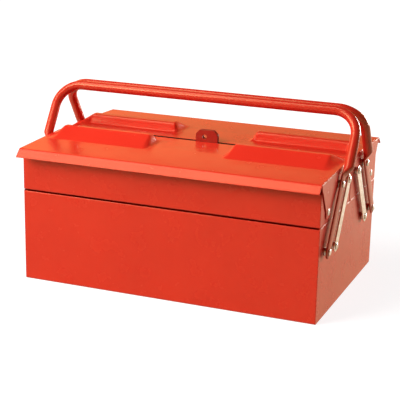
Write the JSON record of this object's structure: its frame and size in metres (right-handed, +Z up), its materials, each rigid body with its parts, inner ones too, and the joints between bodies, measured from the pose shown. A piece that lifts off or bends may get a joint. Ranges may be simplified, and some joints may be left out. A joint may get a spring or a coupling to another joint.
{
  "type": "cantilever tool box",
  "caption": "Steel cantilever tool box with side-by-side upper trays, hinged lids with a padlock tab, and tube handles whose legs swing the trays outwards.",
  "frame": {"origin": "centre of the underside, on the surface the closed box stands on", "axes": "+X along the length, towards the right end seen from the front, -Y to the front, +Z up"},
  "size_m": [0.4414, 0.3012, 0.2526],
  "materials": {
    "red_paint": "gloss enamel on sheet steel",
    "lid_paint": "gloss enamel on pressed sheet steel",
    "handle_paint": "gloss enamel on steel tube",
    "hasp_paint": "gloss enamel",
    "zinc_plate": "bright zinc plate",
    "rivet_steel": "zinc plated, slightly dull"
  },
  "bodies": {
    "base": {"base_wrap": "red_paint", "base_end_left": "red_paint", "base_end_right": "red_paint", "base_arm_rivets": "rivet_steel", "base_link_rivets": "rivet_steel", "base_bushes": "rivet_steel"},
    "front_handle": {"front_handle": "handle_paint"},
    "front_tray": {"front_tray_pan": "red_paint", "front_tray_end_left": "red_paint", "front_tray_end_right": "red_paint", "front_tray_arm_rivets": "rivet_steel", "front_tray_link_rivets": "rivet_steel", "front_lid_rivets": "rivet_steel", "front_tray_bushes": "rivet_steel"},
    "front_lid": {"front_lid_panel": "lid_paint", "front_lid_ear_left": "lid_paint", "front_lid_ear_right": "lid_paint", "front_hasp_tab": "hasp_paint", "front_hasp_rivets": "rivet_steel"},
    "front_link_left": {"front_link_left": "zinc_plate"},
    "front_link_right": {"front_link_right": "zinc_plate"},
    "rear_handle": {"rear_handle": "handle_paint"},
    "rear_tray": {"rear_tray_pan": "red_paint", "rear_tray_end_left": "red_paint", "rear_tray_end_right": "red_paint", "rear_tray_arm_rivets": "rivet_steel", "rear_tray_link_rivets": "rivet_steel", "rear_lid_rivets": "rivet_steel", "rear_tray_bushes": "rivet_steel"},
    "rear_lid": {"rear_lid_panel": "lid_paint", "rear_lid_ear_left": "lid_paint", "rear_lid_ear_right": "lid_paint", "rear_hasp_tab": "hasp_paint", "rear_hasp_rivets": "rivet_steel"},
    "rear_link_left": {"rear_link_left": "zinc_plate"},
    "rear_link_right": {"rear_link_right": "zinc_plate"}
  },
  "joints": [
    {"name": "front_handle_swing", "type": "hinge", "parent": "base", "child": "front_handle", "pos_m": [0, -0.109, 0.089], "axis": [1, 0, 0], "range_deg": [0, 65.43]},
    {"name": "front_tray_level", "type": "hinge", "parent": "front_handle", "child": "front_tray", "pos_m": [0, -0.0605, 0.1645], "axis": [1, 0, 0], "range_deg": [-65.43, 0]},
    {"name": "front_lid_hinge", "type": "hinge", "parent": "front_tray", "child": "front_lid", "pos_m": [0, -0.105, 0.1395], "axis": [1, 0, 0], "range_deg": [0, 52]},
    {"name": "front_link_left_swing", "type": "hinge", "parent": "base", "child": "front_link_left", "pos_m": [0, -0.07249, 0.086], "axis": [1, 0, 0], "range_deg": [0, 65.43]},
    {"name": "front_link_right_swing", "type": "hinge", "parent": "base", "child": "front_link_right", "pos_m": [0, -0.07249, 0.086], "axis": [1, 0, 0], "range_deg": [0, 65.43]},
    {"name": "rear_handle_swing", "type": "hinge", "parent": "base", "child": "rear_handle", "pos_m": [0, 0.109, 0.089], "axis": [-1, 0, 0], "range_deg": [0, 65.43]},
    {"name": "rear_tray_level", "type": "hinge", "parent": "rear_handle", "child": "rear_tray", "pos_m": [0, 0.0605, 0.1645], "axis": [-1, 0, 0], "range_deg": [-65.43, 0]},
    {"name": "rear_lid_hinge", "type": "hinge", "parent": "rear_tray", "child": "rear_lid", "pos_m": [0, 0.105, 0.1395], "axis": [-1, 0, 0], "range_deg": [0, 52]},
    {"name": "rear_link_left_swing", "type": "hinge", "parent": "base", "child": "rear_link_left", "pos_m": [0, 0.07249, 0.086], "axis": [-1, 0, 0], "range_deg": [0, 65.43]},
    {"name": "rear_link_right_swing", "type": "hinge", "parent": "base", "child": "rear_link_right", "pos_m": [0, 0.07249, 0.086], "axis": [-1, 0, 0], "range_deg": [0, 65.43]}
  ],
  "couplings": [
    {"joint": "front_tray_level", "follows": "front_handle_swing", "ratio": -1},
    {"joint": "front_link_left_swing", "follows": "front_handle_swing", "ratio": 1},
    {"joint": "front_link_right_swing", "follows": "front_handle_swing", "ratio": 1},
    {"joint": "rear_tray_level", "follows": "rear_handle_swing", "ratio": -1},
    {"joint": "rear_link_left_swing", "follows": "rear_handle_swing", "ratio": 1},
    {"joint": "rear_link_right_swing", "follows": "rear_handle_swing", "ratio": 1}
  ]
}
